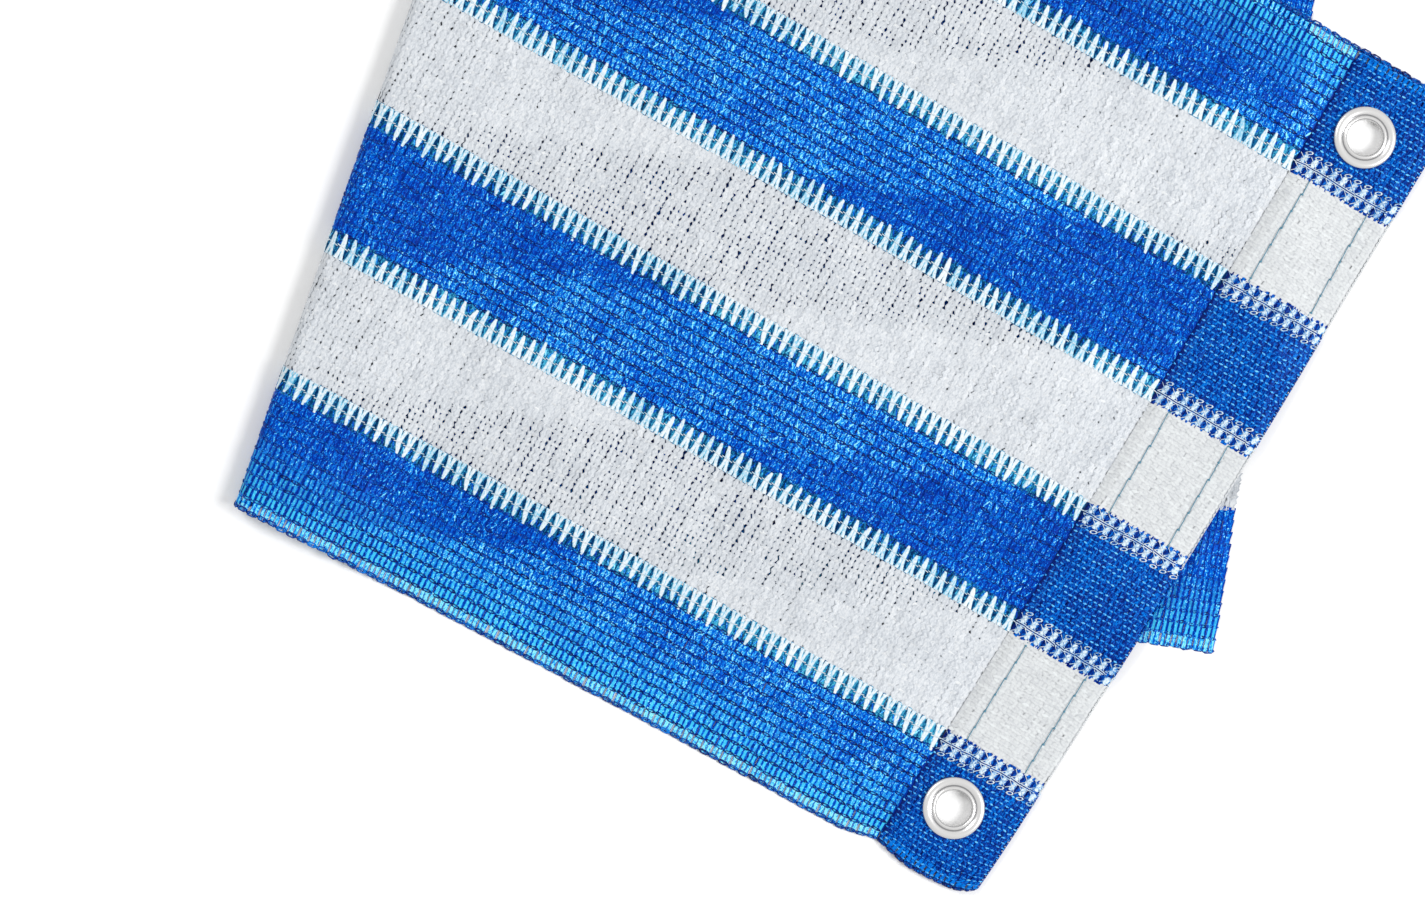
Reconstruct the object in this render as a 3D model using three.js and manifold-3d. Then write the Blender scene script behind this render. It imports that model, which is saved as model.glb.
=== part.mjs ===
// A balcony privacy screen of knitted tape, lying folded over once on a flat surface.
// The lower layer lies flat along +X. At its left end the screen turns over in a soft, slanted
// fold, and the flap comes back over it, turned a little clockwise, out past the lower long edge.
// The flap ends in a hem, turned up over itself and pierced near each end by a pressed metal
// eyelet with its washer. The other end is a plain cut. Millimetres, +Z up.

import * as THREE from "three";
import { mergeVertices } from "three/addons/utils/BufferGeometryUtils.js";
import Module from "manifold-3d";

const wasm = await Module();
wasm.setup();

const radians = THREE.MathUtils.degToRad;

// The knit: its needle rows run along the screen, and whole numbers of them make the stripes.
const ROW_PITCH = 4.23;
const BLUE_ROWS = 11;
const WHITE_ROWS = 12;
const BLUE_STRIPES = 4;
const WHITE_STRIPES = 3;
const WIDTH = (BLUE_STRIPES * BLUE_ROWS + WHITE_STRIPES * WHITE_ROWS) * ROW_PITCH;
const CLOTH = 1.0;

// The fold and the two layers, measured along the lower long edge.
const LOWER_LENGTH = 349;
const FLAP_LENGTH = 297;
const FOLD_LINE = radians(79.3);
const FOLD_RADIUS = 4.4;
const FOLD_SETTLE = 58;
const FLAP_HEIGHT = 3.4;
const EDGE_DROP = 26;
const RIPPLE = 0.6;
const RIPPLE_PITCH = 96;

// How the loose flap has pulled out of square: a slight shear, a hem end drawn narrower and
// upwards, and an upper side that lies a little longer. Beside the hem the long edge is nicked
// inwards, and the hem's lower corner is rounded off.
const SHEAR = Math.tan(radians(0.2));
const DRAW_REACH = 320;
const DRAW_START = 6.6;
const DRAW_NARROWING = 0.024;
const EDGE_DRAW = 1.8;
const EDGE_DRAW_DEPTH = 28;
const UPPER_STRETCH = 0.028;
const UPPER_STRETCH_DEPTH = 150;
const NICK = 2.6;
const NICK_LENGTH = 8;
const CORNER_ROUND = 4.5;
const CORNER_LENGTH = 5;
const CORNER_DEPTH = 12;

// The hem at the flap's end, and its eyelets.
const HEM_WIDTH = 39.5;
const HEM_GAP = 0.5;
const HEM_RADIUS = (CLOTH + HEM_GAP) / 2;
const SEAM_GAP = 0.3;
const EYELET_FROM_END = 23;
const EYELET_FROM_EDGE = 27;
const BORE_RADIUS = 6.4;
const BARREL_RADIUS = 7.0;
const FLANGE_RADIUS = 11.0;
const FLANGE_HEIGHT = 1.4;
const WASHER_RADIUS = 10.6;
const WASHER_THICKNESS = 0.9;
const LIP_RADIUS = 8.2;
const PIECE_GAP = 0.3;
const EYELET_LIFT = PIECE_GAP + WASHER_THICKNESS;
const LIFT_FLAT = 14;
const LIFT_REACH = 34;
const ROUND_STEPS = 32;

const BLUE = new THREE.MeshStandardMaterial({ color: 0x1568cf, roughness: 0.5, metalness: 0 });
const STEEL = new THREE.MeshStandardMaterial({ color: 0xe6e3e0, roughness: 0.25, metalness: 1 });

const alongFold = new THREE.Vector2(Math.cos(FOLD_LINE), Math.sin(FOLD_LINE));
const intoScreen = new THREE.Vector2(Math.sin(FOLD_LINE), -Math.cos(FOLD_LINE));
const alongFlap = new THREE.Vector2(-Math.cos(2 * FOLD_LINE), -Math.sin(2 * FOLD_LINE));
const acrossFlap = new THREE.Vector2(-alongFlap.y, alongFlap.x);
const restCentre = new THREE.Vector2(LOWER_LENGTH / 2, WIDTH / 2);

// 0 up to edge0, 1 from edge1 on, smooth between.
const ramp = (x, edge0, edge1) => THREE.MathUtils.smoothstep(x, edge0, edge1);

// Where the fold's outermost line crosses the needle row at this height across the screen.
function foldPoint(across) {
  return new THREE.Vector2(across / Math.tan(FOLD_LINE), across);
}

// Distance along a needle row from the fold to the flap's hemmed end.
function flapReach(across) {
  return FLAP_LENGTH + across / Math.tan(FOLD_LINE);
}

// Distance along a needle row from the fold to the lower layer's cut end.
function lowerReach(across) {
  return LOWER_LENGTH + FOLD_RADIUS * (Math.PI / 2 - 1) - across / Math.tan(FOLD_LINE);
}

// The flap's small pull out of square, in plan.
function flapPull(along, across) {
  const drawn = Math.sin((Math.PI / 2) * Math.min(1, along / DRAW_REACH));
  const narrowing = DRAW_START - DRAW_NARROWING * across;
  const edge = EDGE_DRAW * Math.exp(-across / EDGE_DRAW_DEPTH);
  const sideways = SHEAR * along + drawn * (narrowing + edge);
  const longer = along * UPPER_STRETCH * (1 - Math.exp(-across / UPPER_STRETCH_DEPTH));
  const fromEnd = flapReach(across) - along;
  const nick = NICK * Math.exp(-(((fromEnd - HEM_WIDTH) / NICK_LENGTH) ** 2));
  const corner = CORNER_ROUND * Math.exp(-fromEnd / CORNER_LENGTH);
  const atEdge = (nick + corner) * Math.exp(-across / CORNER_DEPTH);
  return acrossFlap.clone().multiplyScalar(sideways + atEdge).addScaledVector(alongFlap, longer);
}

// The plan of a point of the flap, and its distance in from the fold's outermost line.
function flapPlan(along, across) {
  const round = Math.PI / 2 * FOLD_RADIUS;
  const turned = along * Math.sin(FOLD_LINE);
  const inward = turned < round
    ? FOLD_RADIUS * (1 - Math.cos(turned / FOLD_RADIUS))
    : FOLD_RADIUS + turned - round;
  const plan = foldPoint(across)
    .addScaledVector(alongFold, -along * Math.cos(FOLD_LINE))
    .addScaledVector(intoScreen, inward)
    .add(flapPull(along, across));
  return { plan, inward };
}

// The plan of each eyelet's axis.
const eyeletCentres = [EYELET_FROM_EDGE, WIDTH - EYELET_FROM_EDGE].map(
  (across) => flapPlan(flapReach(across) - EYELET_FROM_END, across).plan,
);

// How near a place on the flap is to an eyelet, which holds the cloth flat: 1 to 0.
function atEyelet(plan) {
  const nearest = Math.min(...eyeletCentres.map((centre) => centre.distanceTo(plan)));
  return 1 - ramp(nearest, LIFT_FLAT, LIFT_REACH);
}

// Height of the middle of the flap's cloth. It falls from the top of the fold to lie on the
// lower layer, drops to the surface past that layer's edges, and lies flat over each washer.
function flapHeight(plan, inward) {
  const onLower = ramp(plan.y, -EDGE_DROP, 0)
    * ramp(LOWER_LENGTH - plan.x, -EDGE_DROP, 0);
  const fromFold = 1 - ramp(inward, FOLD_RADIUS, FOLD_RADIUS + FOLD_SETTLE);
  const ripple = RIPPLE * Math.sin((2 * Math.PI * (plan.x + 0.4 * plan.y)) / RIPPLE_PITCH);
  const lying = CLOTH / 2 + onLower * (FLAP_HEIGHT - CLOTH / 2 + ripple * (1 - fromFold));
  const crest = CLOTH / 2 + 2 * FOLD_RADIUS;
  const height = lying + fromFold * (crest - lying);
  return THREE.MathUtils.lerp(height, CLOTH / 2 + EYELET_LIFT, atEyelet(plan));
}

// The middle of the cloth at a distance along a needle row from the fold, positive on the flap
// and negative on the lower layer, and at a height across the screen.
function clothPoint(along, across) {
  const turned = along * Math.sin(FOLD_LINE);
  const round = Math.PI / 2 * FOLD_RADIUS;
  const { plan, inward } = along > 0
    ? flapPlan(along, across)
    : lowerPlan(along, across);
  let height = CLOTH / 2;
  if (turned > round) height = flapHeight(plan, inward);
  else if (turned > -round) {
    height = CLOTH / 2 + FOLD_RADIUS * (1 + Math.sin(turned / FOLD_RADIUS));
  }
  return new THREE.Vector3(plan.x - restCentre.x, plan.y - restCentre.y, height);
}

// The plan of a point of the lower layer, whose distance from the fold is given as negative.
function lowerPlan(along, across) {
  const round = Math.PI / 2 * FOLD_RADIUS;
  const turned = -along * Math.sin(FOLD_LINE);
  const inward = turned < round
    ? FOLD_RADIUS * (1 - Math.cos(turned / FOLD_RADIUS))
    : FOLD_RADIUS + turned - round;
  const plan = foldPoint(across)
    .addScaledVector(alongFold, -along * Math.cos(FOLD_LINE))
    .addScaledVector(intoScreen, inward);
  return { plan, inward };
}

// The cloth's upward side on the flap, as a unit normal.
function clothNormal(along, across) {
  const step = 0.5;
  const forward = clothPoint(along + step, across).sub(clothPoint(along - step, across));
  const upward = clothPoint(along, across + step).sub(clothPoint(along, across - step));
  return forward.cross(upward).normalize();
}

// A flat slab of cloth with its corners at 0 and 1 each way, laid on the screen's surface:
// section(share) gives the distance along a needle row, and the height off the cloth's middle.
function laidCloth(name, alongSteps, acrossSteps, section) {
  const slab = new THREE.BoxGeometry(1, 1, CLOTH, alongSteps, acrossSteps, 1);
  const place = slab.getAttribute("position");
  for (let i = 0; i < place.count; i++) {
    const across = (place.getY(i) + 0.5) * WIDTH;
    const point = section(place.getX(i) + 0.5, across, place.getZ(i));
    place.setXYZ(i, point.x, point.y, point.z);
  }
  return piece(name, slab, BLUE);
}

function piece(name, geometry, material) {
  const mesh = new THREE.Mesh(geometry, material);
  mesh.name = name;
  return mesh;
}

// The one sheet from the cut end, round the fold, to the hem's inner line. Its steps are close
// in the bend and wide on the flat.
const LOWER_STEPS = 10;
const BEND_STEPS = 12;
const FLAP_STEPS = 26;
const PANEL_STEPS = LOWER_STEPS + BEND_STEPS + FLAP_STEPS;
const ACROSS_STEPS = 24;
const BEND_HALF = (Math.PI / 2) * (FOLD_RADIUS / Math.sin(FOLD_LINE));

function panelPoint(share, across, offset) {
  const step = share * PANEL_STEPS;
  const lowerEnd = -lowerReach(across);
  const flapEnd = flapReach(across) - HEM_WIDTH - SEAM_GAP;
  let along;
  if (step <= LOWER_STEPS) {
    along = THREE.MathUtils.lerp(lowerEnd, -BEND_HALF, step / LOWER_STEPS);
  } else if (step <= LOWER_STEPS + BEND_STEPS) {
    along = BEND_HALF * (2 * (step - LOWER_STEPS) / BEND_STEPS - 1);
  } else {
    along = THREE.MathUtils.lerp(
      BEND_HALF, flapEnd, (step - LOWER_STEPS - BEND_STEPS) / FLAP_STEPS);
  }
  return clothPoint(along, across).addScaledVector(clothNormal(along, across), offset);
}

// The hem: its under ply carries on from the sheet, turns up at the end and comes back on top.
const PLY_STEPS = 5;
const TURN_STEPS = 6;
const HEM_STEPS = 2 * PLY_STEPS + TURN_STEPS;

function hemPoint(share, across, offset) {
  const step = share * HEM_STEPS;
  const end = flapReach(across);
  const inner = end - HEM_WIDTH;
  const turnCentre = end - HEM_RADIUS - CLOTH / 2;
  let along;
  let height;
  let lean;
  if (step <= PLY_STEPS) {
    along = THREE.MathUtils.lerp(inner, turnCentre, step / PLY_STEPS);
    height = 0;
    lean = 0;
  } else if (step < PLY_STEPS + TURN_STEPS) {
    lean = Math.PI * (step - PLY_STEPS) / TURN_STEPS;
    along = turnCentre + HEM_RADIUS * Math.sin(lean);
    height = HEM_RADIUS * (1 - Math.cos(lean));
  } else {
    along = THREE.MathUtils.lerp(turnCentre, inner, (step - PLY_STEPS - TURN_STEPS) / PLY_STEPS);
    height = 2 * HEM_RADIUS;
    lean = Math.PI;
  }
  const shifted = along - offset * Math.sin(lean);
  const raised = height + offset * Math.cos(lean);
  return clothPoint(shifted, across).addScaledVector(clothNormal(shifted, across), raised);
}

// A mesh's geometry, in place, as a solid for cutting.
function solidOf(geometry) {
  const bare = geometry.clone();
  bare.deleteAttribute("normal");
  bare.deleteAttribute("uv");
  const merged = mergeVertices(bare, 1e-4);
  return new wasm.Manifold(new wasm.Mesh({
    numProp: 3,
    vertProperties: merged.getAttribute("position").array,
    triVerts: new Uint32Array(merged.index.array),
  }));
}

function geometryOf(solid) {
  const mesh = solid.getMesh();
  const geometry = new THREE.BufferGeometry();
  geometry.setAttribute("position", new THREE.BufferAttribute(mesh.vertProperties, 3));
  geometry.setIndex(new THREE.BufferAttribute(mesh.triVerts, 1));
  geometry.computeVertexNormals();
  return geometry;
}

// The hem's upper side where an eyelet grips it.
const HEM_TOPSIDE = EYELET_LIFT + 2 * CLOTH + HEM_GAP;
const CLEARANCE_RADIUS = BARREL_RADIUS + PIECE_GAP;

function piercedHem() {
  const hem = laidCloth("hem_strip", HEM_STEPS, ACROSS_STEPS, hemPoint);
  let solid = solidOf(hem.geometry);
  for (const centre of eyeletCentres) {
    const drill = new THREE.CylinderGeometry(
      CLEARANCE_RADIUS, CLEARANCE_RADIUS, 4 * HEM_TOPSIDE, ROUND_STEPS);
    drill.rotateX(Math.PI / 2);
    drill.translate(centre.x - restCentre.x, centre.y - restCentre.y, HEM_TOPSIDE / 2);
    solid = solid.subtract(solidOf(drill));
  }
  hem.geometry = geometryOf(solid);
  return hem;
}

// A ring turned from a closed section of radius and height points, standing on +Z.
function turnedRing(name, section) {
  const points = section.map(([radius, height]) => new THREE.Vector2(radius, height));
  const ring = new THREE.LatheGeometry([...points, points[0].clone()], ROUND_STEPS);
  ring.rotateX(Math.PI / 2);
  return piece(name, ring, STEEL);
}

// The eyelet: a domed flange on the hem, a barrel through it, and a lip flared into the washer.
function eyelet(name) {
  const seat = HEM_TOPSIDE + PIECE_GAP;
  const crest = seat + FLANGE_HEIGHT;
  const wall = BARREL_RADIUS - BORE_RADIUS;
  return turnedRing(name, [
    [FLANGE_RADIUS - 0.2, seat],
    [FLANGE_RADIUS, seat + 0.25],
    [FLANGE_RADIUS - 0.3, seat + 0.7],
    [FLANGE_RADIUS - 1.0, crest - 0.25],
    [FLANGE_RADIUS - 1.8, crest],
    [FLANGE_RADIUS - 2.8, crest],
    [BORE_RADIUS + 0.8, crest - 0.35],
    [BORE_RADIUS + 0.2, crest - 0.8],
    [BORE_RADIUS, crest - 1.5],
    [BORE_RADIUS, wall],
    [BORE_RADIUS + 0.4, 0],
    [LIP_RADIUS, 0],
    [LIP_RADIUS, 0.1],
    [BARREL_RADIUS, wall + 0.2],
    [BARREL_RADIUS, seat],
  ]);
}

// The washer under the hem, dished inside to take the eyelet's lip.
function washer(name) {
  const top = WASHER_THICKNESS;
  return turnedRing(name, [
    [LIP_RADIUS + 0.4, 0],
    [WASHER_RADIUS - 0.3, 0],
    [WASHER_RADIUS, 0.3],
    [WASHER_RADIUS - 0.2, top],
    [CLEARANCE_RADIUS, top],
    [CLEARANCE_RADIUS, top - 0.2],
  ]);
}

const screen = new THREE.Group();
screen.add(laidCloth("screen_panel", PANEL_STEPS, ACROSS_STEPS, panelPoint));
screen.add(piercedHem());
["lower", "upper"].forEach((place, i) => {
  for (const ring of [eyelet(`eyelet_${place}`), washer(`washer_${place}`)]) {
    ring.position.set(
      eyeletCentres[i].x - restCentre.x, eyeletCentres[i].y - restCentre.y, 0);
    screen.add(ring);
  }
});

export default screen;
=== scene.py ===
import math

import bpy
import numpy as np
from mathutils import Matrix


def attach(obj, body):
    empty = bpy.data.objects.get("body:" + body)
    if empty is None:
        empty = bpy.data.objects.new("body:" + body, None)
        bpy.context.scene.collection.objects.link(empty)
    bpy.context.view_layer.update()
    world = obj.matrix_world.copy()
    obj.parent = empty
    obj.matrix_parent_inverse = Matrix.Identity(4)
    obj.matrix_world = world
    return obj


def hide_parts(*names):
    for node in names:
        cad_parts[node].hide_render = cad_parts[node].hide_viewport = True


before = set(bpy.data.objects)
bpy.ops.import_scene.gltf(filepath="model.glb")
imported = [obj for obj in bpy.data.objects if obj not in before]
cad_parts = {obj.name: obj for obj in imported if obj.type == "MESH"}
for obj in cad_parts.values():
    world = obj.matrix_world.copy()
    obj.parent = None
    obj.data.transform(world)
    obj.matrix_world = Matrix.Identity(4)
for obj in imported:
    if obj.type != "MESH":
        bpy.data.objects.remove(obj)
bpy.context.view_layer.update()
scene = bpy.context.scene

# The view: a camera straight above, turned so that the lower layer's long edge falls away
# 8.7 degrees to the right. The picture's scale and the pixel where the fold meets that edge
# set where it stands.
MM = 0.001
PICTURE = (1425, 897)
PIXEL = 0.3533 * MM
CORNER_PIXEL = (236.85, 503.4)
VIEW_TURN = math.radians(8.7)
LENS = 135
SENSOR = 36
LOWER_LENGTH = 349
WIDTH_ROWS = 80
ROW_PITCH = 4.23
WIDTH = WIDTH_ROWS * ROW_PITCH
REST_CENTRE = np.array([LOWER_LENGTH / 2, WIDTH / 2])

rightward = np.array([math.cos(VIEW_TURN), math.sin(VIEW_TURN)])
upward = np.array([-math.sin(VIEW_TURN), math.cos(VIEW_TURN)])
centre_from_corner = (
    (PICTURE[0] / 2 - CORNER_PIXEL[0]) * rightward - (PICTURE[1] / 2 - CORNER_PIXEL[1]) * upward
)
camera_plan = centre_from_corner * PIXEL - REST_CENTRE * MM
camera_height = PICTURE[0] * PIXEL * LENS / SENSOR
bpy.ops.object.camera_add(
    location=(camera_plan[0], camera_plan[1], camera_height), rotation=(0, 0, VIEW_TURN))
camera = bpy.context.object
camera.data.lens = LENS
camera.data.sensor_width = SENSOR
scene.camera = camera
scene.view_settings.view_transform = "Standard"

# The floor and the light: a white sweep under a broad, even sky, with one softer lamp high on
# the right that leaves the fold's shadow on its left.
FLOOR_SIZE = 6.0
FLOOR_DROP = 0.2 * MM
bpy.ops.mesh.primitive_plane_add(size=FLOOR_SIZE, location=(0, 0, -FLOOR_DROP))
floor = bpy.context.object
floor.name = "floor"
floor_white = bpy.data.materials.new("floor white")
floor_white.use_nodes = True
floor_shader = floor_white.node_tree.nodes["Principled BSDF"]
floor_shader.inputs["Base Color"].default_value = (0.9, 0.9, 0.9, 1)
floor_shader.inputs["Roughness"].default_value = 0.9
floor_shader.inputs["Specular IOR Level"].default_value = 0.1
floor.data.materials.append(floor_white)

SKY = 0.55
scene.world = bpy.data.worlds.new("studio")
scene.world.use_nodes = True
scene.world.node_tree.nodes["Background"].inputs["Color"].default_value = (1, 1, 1, 1)
scene.world.node_tree.nodes["Background"].inputs["Strength"].default_value = SKY


def lamp(name, direction, distance, size, watts):
    """An area lamp that looks at the middle of the view from a direction in the picture."""
    across, up, height = direction
    away = np.array([*(across * rightward + up * upward), height])
    away = away / np.linalg.norm(away) * distance
    place = (camera_plan[0] + away[0], camera_plan[1] + away[1], away[2])
    yaw = math.atan2(away[1], away[0])
    tilt = math.acos(away[2] / distance)
    bpy.ops.object.light_add(type="AREA", location=place, rotation=(0, tilt, yaw))
    made = bpy.context.object
    made.name = name
    made.data.shape = "DISK"
    made.data.size = size
    made.data.energy = watts
    return made


lamp("key lamp", direction=(0.96, -0.3, 1.1), distance=1.9, size=0.8, watts=26)
lamp("fill lamp", direction=(-0.6, 0.55, 0.9), distance=2.4, size=0.9, watts=19)

# How the screen lies: flat on the floor, turned over at its left end along a slanted fold, and
# back over itself as a loose flap. The flap has pulled slightly out of square; where it passes
# the lower layer it drops to the floor, and the metal eyelets hold it flat.
CLOTH = 1.0
FLAP_LENGTH = 297
FOLD_LINE = math.radians(79.3)
FOLD_RADIUS = 4.4
FOLD_SETTLE = 58
FLAP_HEIGHT = 3.4
EDGE_DROP = 26
RIPPLE = 0.6
RIPPLE_PITCH = 96
RIPPLE_SLANT = 0.4
SHEAR = math.tan(math.radians(0.2))
DRAW_REACH = 320
DRAW_START = 6.6
DRAW_NARROWING = 0.024
EDGE_DRAW = 1.8
EDGE_DRAW_DEPTH = 28
UPPER_STRETCH = 0.028
UPPER_STRETCH_DEPTH = 150
NICK = 2.6
NICK_LENGTH = 8
CORNER_ROUND = 4.5
CORNER_LENGTH = 5
CORNER_DEPTH = 12
HEM_WIDTH = 39.5
EYELET_FROM_END = 23
EYELET_FROM_EDGE = 27
EYELET_LIFT = 1.2
LIFT_FLAT = 14
LIFT_REACH = 34

along_fold = np.array([math.cos(FOLD_LINE), math.sin(FOLD_LINE)])
into_screen = np.array([math.sin(FOLD_LINE), -math.cos(FOLD_LINE)])
along_flap = np.array([-math.cos(2 * FOLD_LINE), -math.sin(2 * FOLD_LINE)])
across_flap = np.array([-along_flap[1], along_flap[0]])
QUARTER = math.pi / 2 * FOLD_RADIUS


def ramp(x, low, high):
    """0 up to low, 1 from high on, smooth between."""
    t = np.clip((x - low) / (high - low), 0, 1)
    return t * t * (3 - 2 * t)


def flap_reach(across):
    return FLAP_LENGTH + across / math.tan(FOLD_LINE)


def flap_pull(along, across):
    """How far the loose flap has moved sideways and lengthways out of square."""
    drawn = np.sin(math.pi / 2 * np.minimum(1, along / DRAW_REACH))
    narrowing = DRAW_START - DRAW_NARROWING * across
    edge = EDGE_DRAW * np.exp(-across / EDGE_DRAW_DEPTH)
    from_end = flap_reach(across) - along
    nick = NICK * np.exp(-(((from_end - HEM_WIDTH) / NICK_LENGTH) ** 2))
    corner = CORNER_ROUND * np.exp(-from_end / CORNER_LENGTH)
    at_edge = (nick + corner) * np.exp(-across / CORNER_DEPTH)
    sideways = SHEAR * along + drawn * (narrowing + edge) + at_edge
    longer = along * UPPER_STRETCH * (1 - np.exp(-across / UPPER_STRETCH_DEPTH))
    pull = sideways[:, None] * across_flap + longer[:, None] * along_flap
    return np.where(along[:, None] > 0, pull, 0)


def cloth_plan(along, across):
    """Plan places, and their distances in from the fold's outermost line."""
    turned = np.abs(along) * math.sin(FOLD_LINE)
    bend = FOLD_RADIUS * (1 - np.cos(np.minimum(turned, QUARTER) / FOLD_RADIUS))
    inward = np.where(turned < QUARTER, bend, FOLD_RADIUS + turned - QUARTER)
    start = np.stack([across / math.tan(FOLD_LINE), across], axis=1)
    slide = -along[:, None] * math.cos(FOLD_LINE) * along_fold
    return start + slide + inward[:, None] * into_screen + flap_pull(along, across), inward


def eyelet_plan(across):
    along = np.array([flap_reach(across) - EYELET_FROM_END])
    return cloth_plan(along, np.array([float(across)]))[0][0]


EYELETS = {
    "lower": eyelet_plan(EYELET_FROM_EDGE),
    "upper": eyelet_plan(WIDTH - EYELET_FROM_EDGE),
}


def flap_height(plan, inward):
    on_lower = ramp(plan[:, 1], -EDGE_DROP, 0) * ramp(LOWER_LENGTH - plan[:, 0], -EDGE_DROP, 0)
    from_fold = 1 - ramp(inward, FOLD_RADIUS, FOLD_RADIUS + FOLD_SETTLE)
    ripple = RIPPLE * np.sin(2 * math.pi * (plan[:, 0] + RIPPLE_SLANT * plan[:, 1]) / RIPPLE_PITCH)
    lying = CLOTH / 2 + on_lower * (FLAP_HEIGHT - CLOTH / 2 + ripple * (1 - from_fold))
    height = lying + from_fold * (CLOTH / 2 + 2 * FOLD_RADIUS - lying)
    nearest = np.min([np.linalg.norm(plan - at, axis=1) for at in EYELETS.values()], axis=0)
    held = 1 - ramp(nearest, LIFT_FLAT, LIFT_REACH)
    return height + held * (CLOTH / 2 + EYELET_LIFT - height)


def cloth_point(along, across):
    """The middle of the cloth: along is the distance on from the fold, across from the edge."""
    plan, inward = cloth_plan(along, across)
    turned = along * math.sin(FOLD_LINE)
    bend = CLOTH / 2 + FOLD_RADIUS * (1 + np.sin(np.clip(turned, -QUARTER, QUARTER) / FOLD_RADIUS))
    height = np.where(turned > QUARTER, flap_height(plan, inward), bend)
    return np.column_stack([plan - REST_CENTRE, height])


def cloth_normal(along, across):
    step = 0.5
    forward = cloth_point(along + step, across) - cloth_point(along - step, across)
    sideways = cloth_point(along, across + step) - cloth_point(along, across - step)
    normal = np.cross(forward, sideways)
    return normal / np.linalg.norm(normal, axis=1)[:, None]


def lay_panel(flat):
    """Flat knit (distance past the fold on the lower edge, across, off the cloth) as it lies."""
    along = flat[:, 0] + flat[:, 1] / math.tan(FOLD_LINE)
    place = cloth_point(along, flat[:, 1])
    return place + cloth_normal(along, flat[:, 1]) * flat[:, 2:]


# The knitted tape: split polyethylene tape laid back and forth between rows of small chain
# stitches. Each crossing is a flat, slightly crowned leg; each chain stitch is a loop that
# holds the legs down. Both are made once here and repeated for every stripe.
COURSES = 156
PANEL_START = -(LOWER_LENGTH + FOLD_RADIUS * (math.pi / 2 - 1))
PANEL_END = FLAP_LENGTH - HEM_WIDTH
COURSE = (PANEL_END - PANEL_START) / COURSES
LEG_WIDTHS = (2.0, 1.9, 2.0)
SLIT_LEG_WIDTHS = (2.5, 1.15, 2.5, 1.3, 2.5)
LEG_LENGTH = ROW_PITCH + 0.9
LEG_CROWN = 0.14
LEG_RISE = 0.06
LEG_LEAN = math.tan(math.radians(6))
LOOP_LENGTH = 3.3
LOOP_WIDTH = 1.45
LOOP_WIRE = 0.25
LOOP_HEIGHT = 0.22
LOOP_END = 0.3
BUMP_CROWN = 0.2
TOUCH = 1e-4


def select_only(*chosen):
    bpy.ops.object.select_all(action="DESELECT")
    for piece in chosen:
        piece.select_set(True)
    bpy.context.view_layer.objects.active = chosen[0]


def shape(piece, chosen, operator, **how):
    """One edit-mode operator on the points that a test picks out by their place."""
    select_only(piece)
    bpy.ops.object.mode_set(mode="EDIT")
    bpy.ops.mesh.select_mode(type="VERT")
    bpy.ops.mesh.select_all(action="DESELECT")
    bpy.ops.object.mode_set(mode="OBJECT")
    for vertex in piece.data.vertices:
        vertex.select = chosen(vertex.co)
    bpy.ops.object.mode_set(mode="EDIT")
    operator(**how)
    bpy.ops.object.mode_set(mode="OBJECT")


def everywhere(place):
    return True


def tape_strip(name, length, widths, crown, shifts=None):
    """A crowned strip of tape from y = 0 to length, with a width and a shift at each step."""
    bpy.ops.object.select_all(action="DESELECT")
    steps = len(widths) - 1
    bpy.ops.mesh.primitive_grid_add(x_subdivisions=2, y_subdivisions=steps, size=1)
    strip = bpy.context.object
    strip.name = name
    paint(strip, "rim", np.abs(points_of(strip)[:, 0]) > TOUCH)
    shape(strip, everywhere, bpy.ops.transform.resize, value=(1, length, 1))
    shape(strip, everywhere, bpy.ops.transform.translate, value=(0, length / 2, 0))
    shape(strip, lambda place: abs(place.x) < TOUCH,
          bpy.ops.transform.translate, value=(0, 0, crown))
    for step, width in enumerate(widths):
        at = length * step / steps
        shape(strip, lambda place: abs(place.y - at) < TOUCH,
              bpy.ops.transform.resize, value=(width, 1, 1), center_override=(0, at, 0))
    for step, shift in enumerate(shifts or ()):
        at = length * step / steps
        shape(strip, lambda place: abs(place.y - at) < TOUCH,
              bpy.ops.transform.translate, value=(shift, 0, 0))
    return strip


def ring_stitch(name, length, width, wire, height, sides=6):
    """A closed chain loop lying along x, its near end at x = 0."""
    bpy.ops.object.select_all(action="DESELECT")
    bpy.ops.mesh.primitive_torus_add(
        major_segments=sides, minor_segments=3,
        major_radius=width / 2 - wire, minor_radius=wire, location=(0, 0, 0))
    ring = bpy.context.object
    ring.name = name
    stretch = (length / 2 - wire) / (width / 2 - wire)
    shape(ring, everywhere, bpy.ops.transform.resize, value=(stretch, 1, 1))
    shape(ring, everywhere, bpy.ops.transform.translate, value=(length / 2, 0, height))
    return ring


def strand(name, length, radius, height, steps=1):
    """A thin straight thread along x from x = 0, cut across into even steps."""
    bpy.ops.object.select_all(action="DESELECT")
    bpy.ops.mesh.primitive_cylinder_add(
        vertices=4, radius=radius, depth=length, end_fill_type="NOTHING",
        location=(0, 0, 0), rotation=(0, 0, 0))
    thread = bpy.context.object
    thread.name = name
    for step in range(1, steps):
        shape(thread, everywhere, bpy.ops.mesh.bisect,
              plane_co=(0, 0, length * (step / steps - 0.5)), plane_no=(0, 0, 1))
    shape(thread, everywhere, bpy.ops.transform.rotate, value=-math.pi / 2, orient_axis="Y",
          center_override=(0, 0, 0))
    shape(thread, everywhere, bpy.ops.transform.translate, value=(length / 2, 0, height))
    return thread


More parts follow.
